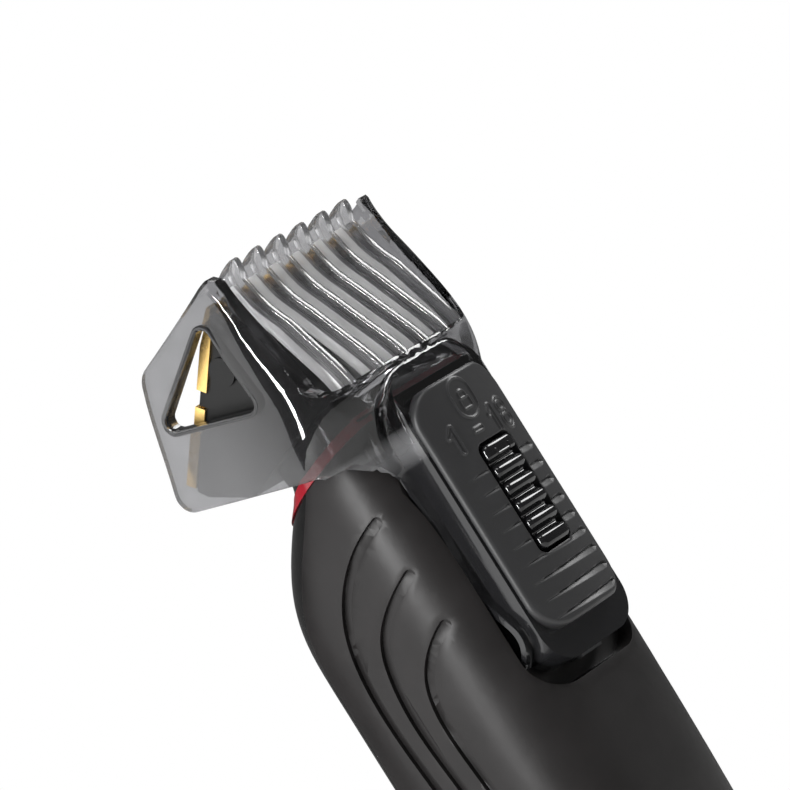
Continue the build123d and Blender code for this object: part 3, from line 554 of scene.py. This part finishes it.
PAD_HALF = 12.0
PAD_LOW, PAD_HIGH = 99.0, 144.8
PAD_MIDDLE, PAD_REACH = (PAD_LOW + PAD_HIGH) / 2, (PAD_HIGH - PAD_LOW) / 2
PAD_ROUND = 6.0
PAD_BED = 23.3
PAD_EDGE, PAD_CROWN = 24.7, 27.4
PAD_GRID = (171, 321)           # points across and up
PAD_SHOULDER = 0.7
SLOT_HALF, SLOT_LOW, SLOT_HIGH = 4.65, 110.95, 132.05
SLOT_MIDDLE, SLOT_REACH = (SLOT_LOW + SLOT_HIGH) / 2, (SLOT_HIGH - SLOT_LOW) / 2
SLOT_ROUND = 1.6
SLOT_SHOULDER = 0.35
SLOT_FLOOR = 0.15               # above the bed

RIB_PITCH = 3.37
RIB_TOP = 127.6
RIB_COUNT = 9
RIB_HALF = 0.72
RIB_START, RIB_LENGTH = 9.8, 20.0
RIB_WIDENING = 0.6              # power by which a cut widens from its point
RIB_BLUNT = 0.06                # share of its length in which it rounds off again
RIB_UPPER, RIB_DROP = 1.06, 0.12     # its upper edge and its drop there, as shares of its width
RIB_DEPTH = 0.95                # over its half width
RIB_SCALE = 1.05
CLEAR_OF_SLOT, CLEAR_OF_EDGE = 0.6, 1.2    # where cuts and marks have their full depth

MARK_HEIGHT = 0.22
MARK_SPREAD = 0.18
STROKE_HALF = 0.42              # half the width of a digit's stroke, between its two rims
RING_HALF = 0.36
SIGNS = {
    "one_left": [(8.4, 135.6), (7.3, 136.9), (7.3, 132.4)],
    "hyphen": [(2.9, 134.4), (1.3, 134.4)],
    "one_right": [(-2.3, 135.6), (-3.4, 136.9), (-3.4, 132.4)],
}
EIGHT = [(-6.9, 136.0, 1.25), (-6.9, 133.5, 1.4)]     # its two rings: X, height, radius
LOCK = (1.2, 140.2)
LOCK_OVAL = (2.6, 3.7, 2.6)
LOCK_BODY = (1.2, 0.95, 0.3)
LOCK_DROP = 1.0                 # of its body below the oval's middle
SHACKLE_FROM, SHACKLE_MIDDLE, SHACKLE_ROUND = 0.1, 0.5, 0.85
LOCK_SHARE = 0.8                # height of the lock over that of its oval


def pad_marks(x, z):
    """Height of the raised marks: exp(-(d / spread)^2) of the distance d to each line, the
    lines being the rims of the digits' strokes, and a lock in an oval."""
    def rim(distance, at=0.0):
        return np.exp(-((distance - at) / MARK_SPREAD) ** 2)

    rings = [np.abs(np.hypot(x - cx, z - cz) - radius) for cx, cz, radius in EIGHT]
    lx, lz = x - LOCK[0], z - LOCK[1]
    ring = np.abs(np.hypot(lx, lz - SHACKLE_MIDDLE) - SHACKLE_ROUND)
    shackle = np.where(lz > SHACKLE_FROM, ring, np.inf)
    return np.maximum.reduce([
        *[rim(to_stroke(x, z, points), STROKE_HALF) for points in SIGNS.values()],
        rim(np.minimum(*rings), RING_HALF),
        rim(np.abs(inside_round(lx, lz, *LOCK_OVAL))),
        LOCK_SHARE * rim(np.abs(inside_round(lx, lz + LOCK_DROP, *LOCK_BODY))),
        LOCK_SHARE * rim(shackle),
    ])


def pad_ribs(x, z):
    """Depth of the nine lens shaped cuts: pointed at +X, blunt at -X; each drops at once at its
    upper edge and slopes back up to the face at its lower edge."""
    along = np.clip((RIB_START - x) / RIB_LENGTH, 0, 1)
    blunt = np.sqrt(np.clip((1 - along) / RIB_BLUNT, 0, 1))
    half = RIB_HALF * along ** RIB_WIDENING * blunt
    cut = np.zeros(x.shape)
    for i in range(RIB_COUNT):
        share = (z - RIB_TOP + RIB_PITCH * i + half) / np.maximum(2 * half, 1e-3)
        drop = np.clip((RIB_UPPER - share) / RIB_DROP, 0, 1)
        cut = np.maximum(cut, np.clip(share, 0, 1) * drop)
    return cut * half * RIB_DEPTH


def pad_skin():
    """Crowned pad as a height over its outline: columns spread across the rounded outline's
    width at each height, Y is the crown's arc less the round edge, the cuts and the slot, and
    the border drops to the bed."""
    across, up = PAD_GRID
    z = PAD_MIDDLE + PAD_REACH * crowded(up, 0.85)
    width = half_width(z - PAD_MIDDLE, PAD_HALF, PAD_REACH, PAD_ROUND)
    x = crowded(across, 0.75)[None, :] * width[:, None]
    z = np.broadcast_to(z[:, None], x.shape)
    depth = inside_round(x, z - PAD_MIDDLE, PAD_HALF, PAD_REACH, PAD_ROUND)
    slot = -inside_round(x, z - SLOT_MIDDLE, SLOT_HALF, SLOT_REACH, SLOT_ROUND)
    y = PAD_EDGE + (PAD_CROWN - PAD_EDGE) * (1 - (x / PAD_HALF) ** 2)
    y = y - shoulder(np.maximum(depth, 0), PAD_SHOULDER)
    y = y - shoulder(np.maximum(slot, 0), SLOT_SHOULDER)
    away = np.clip(slot / CLEAR_OF_SLOT, 0, 1) * np.clip(depth / CLEAR_OF_EDGE, 0, 1)
    y = y - RIB_SCALE * pad_ribs(x, z) * away + MARK_HEIGHT * pad_marks(x, z) * away
    y = np.where(slot < 0, PAD_BED + SLOT_FLOOR, y)
    return skirted(np.stack([x, y, z], axis=-1), PAD_BED) * MM


pad = skin_mesh("pad", [pad_skin()])
facing_out(pad, BORDER_MERGE, fill=True)
finished(pad, pad_rubber, "comb", "pad_rubber", "comb_pad", smooth=50.0)


# ---------------------------------------------------------------- button

BUTTON_HALF = 4.1
BUTTON_LOW, BUTTON_HIGH = 111.5, 131.5
BUTTON_MIDDLE, BUTTON_REACH = (BUTTON_LOW + BUTTON_HIGH) / 2, (BUTTON_HIGH - BUTTON_LOW) / 2
BUTTON_ROUND = 1.3
BUTTON_UNDER = 22.4
BUTTON_FACE = 28.3
BUTTON_SUNK, BUTTON_CROWN = 0.25, 0.3    # of its ridges below the face, at the middle and edge
BUTTON_GRID = (61, 261)         # points across and up
BUTTON_SHOULDER = 0.8
RIDGE_FIRST, RIDGE_LAST = 114.7, 128.2
RIDGE_LEAD, RIDGE_TAIL, RIDGE_FADE = 1.5, 1.2, 0.8    # how the valleys begin and end
RIDGE_DEPTH = 1.15
RIDGE_ROUND = 1.6               # power that makes the ridges wider than the valleys
SCALLOP = 0.35                  # how far the flanks go in between two ridges
BRACKET_MIDDLE, BRACKET_TOP = 129.9, 130.2
BRACKET = (1.9, 0.75, 0.4)
BRACKET_HEIGHT, BRACKET_SPREAD = 0.18, 0.16
BLOCK_POINTS = 32
BLOCK_EDGE, BLOCK_END = 0.1, 0.85    # height of a block's soft edge, and its end's share of size
# Blocks of the button's hooks on the +X side: X, Y and Z, each from and to
HOOK_BLOCKS = [
    (3.4, 4.1, 18.7, 23.4, 112.0, 116.0),
    (3.4, 5.8, 20.8, 21.95, 112.0, 116.0),
    (1.8, 4.1, 18.7, 19.6, 113.5, 114.5),
]


def button_skin():
    """Press button as a height over its outline: five round ridges between flat ends, whose
    flanks are scalloped with the ridges, and a raised bracket at the top end."""
    across, up = BUTTON_GRID
    z = BUTTON_MIDDLE + BUTTON_REACH * crowded(up, 0.85)
    lower = np.clip((z - RIDGE_FIRST + RIDGE_LEAD) / RIDGE_FADE, 0, 1)
    upper = np.clip((RIDGE_LAST + RIDGE_TAIL - z) / RIDGE_FADE, 0, 1)
    wave = 0.5 - 0.5 * np.cos(2 * np.pi * (z - RIDGE_FIRST) / RIB_PITCH + np.pi)
    valley = wave ** RIDGE_ROUND * lower * upper
    width = half_width(z - BUTTON_MIDDLE, BUTTON_HALF, BUTTON_REACH, BUTTON_ROUND)
    x = crowded(across, 0.6)[None, :] * (width - SCALLOP * valley)[:, None]
    z = np.broadcast_to(z[:, None], x.shape)
    valley = valley[:, None]
    depth = inside_round(x, z - BUTTON_MIDDLE, BUTTON_HALF, BUTTON_REACH, BUTTON_ROUND)
    y = BUTTON_FACE - BUTTON_SUNK - BUTTON_CROWN * (x / BUTTON_HALF) ** 2
    y = y - RIDGE_DEPTH * valley
    y = y - shoulder(np.maximum(depth - SCALLOP * valley, 0), BUTTON_SHOULDER)
    bracket = np.abs(inside_round(x, z - BRACKET_MIDDLE, *BRACKET))
    y = y + BRACKET_HEIGHT * np.exp(-(bracket / BRACKET_SPREAD) ** 2) * (z < BRACKET_TOP)
    return skirted(np.stack([x, y, z], axis=-1), BUTTON_UNDER) * MM


def block_skin(x0, x1, y0, y1, z0, z1):
    """Small moulded block with soft edges: sections |x/a|^8 + |y/b|^8 = 1, drawn in at its
    ends."""
    a = np.linspace(0, 2 * np.pi, BLOCK_POINTS, endpoint=False)
    c, s = np.cos(a), np.sin(a)
    reach = (np.abs(c) ** 8 + np.abs(s) ** 8) ** (-1 / 8)
    z = np.array([z0, z0, z0 + BLOCK_EDGE, z1 - BLOCK_EDGE, z1, z1])[:, None]
    grow = np.array([0.0, BLOCK_END, 1.0, 1.0, BLOCK_END, 0.0])[:, None]
    x = (x0 + x1) / 2 + (x1 - x0) / 2 * c * reach * grow
    y = (y0 + y1) / 2 + (y1 - y0) / 2 * s * reach * grow
    return np.stack([x, y, np.broadcast_to(z, x.shape)], axis=-1) * MM


button = skin_mesh("button", [button_skin()])
facing_out(button, BORDER_MERGE, fill=True)
finished(button, button_gloss, "comb_button", "button_gloss", smooth=50.0)
legs = skin_mesh("button_legs", [
    block_skin(*sorted((side * near, side * far)), *rest)
    for near, far, *rest in HOOK_BLOCKS for side in (-1, 1)
], wrap=True)
facing_out(legs)
finished(legs, button_gloss, "comb_button", "button_gloss")
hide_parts("comb_button")


# ---------------------------------------------------------------- softened housings

CORNER_ANGLE = 35.0             # edges sharper than this are eased, in degrees
FLAT_ANGLE = 0.4                # faces that meet flatter than this are made one, in degrees


def softened(node, body, slot, edge):
    """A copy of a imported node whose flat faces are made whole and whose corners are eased."""
    piece = bpy.data.objects.new(node + "_soft", NODES[node].data.copy())
    bpy.context.scene.collection.objects.link(piece)
    shape = bmesh.new()
    shape.from_mesh(piece.data)
    bmesh.ops.remove_doubles(shape, verts=shape.verts, dist=BORDER_MERGE)
    bmesh.ops.dissolve_limit(shape, angle_limit=np.radians(FLAT_ANGLE), verts=shape.verts,
                             edges=shape.edges)
    shape.to_mesh(piece.data)
    shape.free()
    ease = piece.modifiers.new("ease", "BEVEL")
    ease.width = edge * MM
    ease.segments = 2
    ease.limit_method = "ANGLE"
    ease.angle_limit = np.radians(CORNER_ANGLE)
    ease.harden_normals = False
    return finished(piece, NODE_FINISH[node], body, slot, node, smooth=CORNER_ANGLE)


softened("comb_frame", "comb", "smoked_clear", 0.3)
softened("rear_shell", "housing", "satin_shell", 0.2)
softened("side_band", "housing", "gloss_black", 0.15)
softened("red_trim", "housing", "red_trim", 0.25)


# ---------------------------------------------------------------- studio

FLOOR_RADIUS = 0.62
FLOOR_GAP = 0.0002              # between the floor and the part, in m
HEAD = (0.0, 0.008, 0.150)      # what the lights are aimed at
ROOM_GLOW = 0.14                # of the pale room, other than seen directly or through the comb
# Name, place, width, height, power
LIGHTS = [
    ("key_left", (0.74, -0.02, 0.36), 0.06, 0.6, 8.0),
    ("fill_front_left", (0.58, -0.52, 0.16), 0.5, 0.6, 1.8),
    ("back_right", (-0.60, 0.32, 0.58), 0.35, 0.35, 4.5),
    ("top", (0.10, 0.35, 0.90), 0.4, 0.4, 2.5),
]


def studio_plain(name, colour, rough):
    """Matt paper with a faint unevenness."""
    f = Finish(name, colour, Roughness=rough)
    f.set("Base Color", f.blend(colour, shaded(colour, 0.97), f.noise(60.0)))
    return f


def floor_disc(radius):
    """Flat disc just under the part: rings of growing radius r, as (r cos a, r sin a)."""
    rings, around = 8, 96
    r = np.linspace(0.0, radius, rings)[:, None]
    a = np.linspace(0.0, 2 * np.pi, around, endpoint=False)[None, :]
    z = np.full((rings, around), cad_box[0][2] - FLOOR_GAP)
    return skin_mesh("floor", [np.stack([r * np.cos(a), r * np.sin(a), z], axis=-1)], wrap=True)


def softbox(name, centre, width, height, power):
    light = bpy.data.lights.new(name, "AREA")
    light.shape = "RECTANGLE"
    light.size = width
    light.size_y = height
    light.energy = power
    piece = bpy.data.objects.new(name, light)
    piece.location = centre
    piece.rotation_euler = (Vector(HEAD) - Vector(centre)).to_track_quat("-Z", "Y").to_euler()
    bpy.context.scene.collection.objects.link(piece)


def pale_room():
    """Even world: white where it is seen directly or through the comb, dim in all other rays."""
    world = bpy.data.worlds.new("pale_room")
    bpy.context.scene.world = world
    world.use_nodes = True
    room = Nodes(world.node_tree)
    sky = room.tree.nodes["Background"]
    direct = room.node("ShaderNodeLightPath", output="Is Camera Ray")
    through = room.node("ShaderNodeLightPath", output="Is Transmission Ray")
    inputs = {"Value": direct.math("MAXIMUM", through), "To Min": ROOM_GLOW, "To Max": 1.0}
    room.feed(sky.inputs["Color"], (1.0, 1.0, 1.0, 1.0))
    room.feed(sky.inputs["Strength"], room.node("ShaderNodeMapRange", None, inputs))


floor = floor_disc(FLOOR_RADIUS)
floor.data.materials.append(studio_plain("floor_paper", (0.86, 0.86, 0.85), 0.7).material)
pale_room()
for light in LIGHTS:
    softbox(*light)


# ---------------------------------------------------------------- camera

TARGET = Vector((-6.9, 8.3, 146.9)) * MM
TOWARDS = Vector((0.766, 0.643, -0.02)).normalized()
DISTANCE = 0.95
LEAN = np.radians(32.0)         # the long axis leans to the left of upright
FOCAL = 255.0

camera_data = bpy.data.cameras.new("camera")
camera_data.lens = FOCAL
camera_data.sensor_width = 36.0
camera_data.clip_start = 0.01
camera_data.clip_end = 20.0
camera = bpy.data.objects.new("camera", camera_data)
bpy.context.scene.collection.objects.link(camera)
level = (-TOWARDS).to_track_quat("-Z", "Y").to_matrix().to_4x4()
stand = Matrix.Translation(TARGET + TOWARDS * DISTANCE)
camera.matrix_world = stand @ level @ Matrix.Rotation(-LEAN, 4, "Z")
bpy.context.scene.camera = camera
bpy.context.scene.view_settings.view_transform = "Standard"
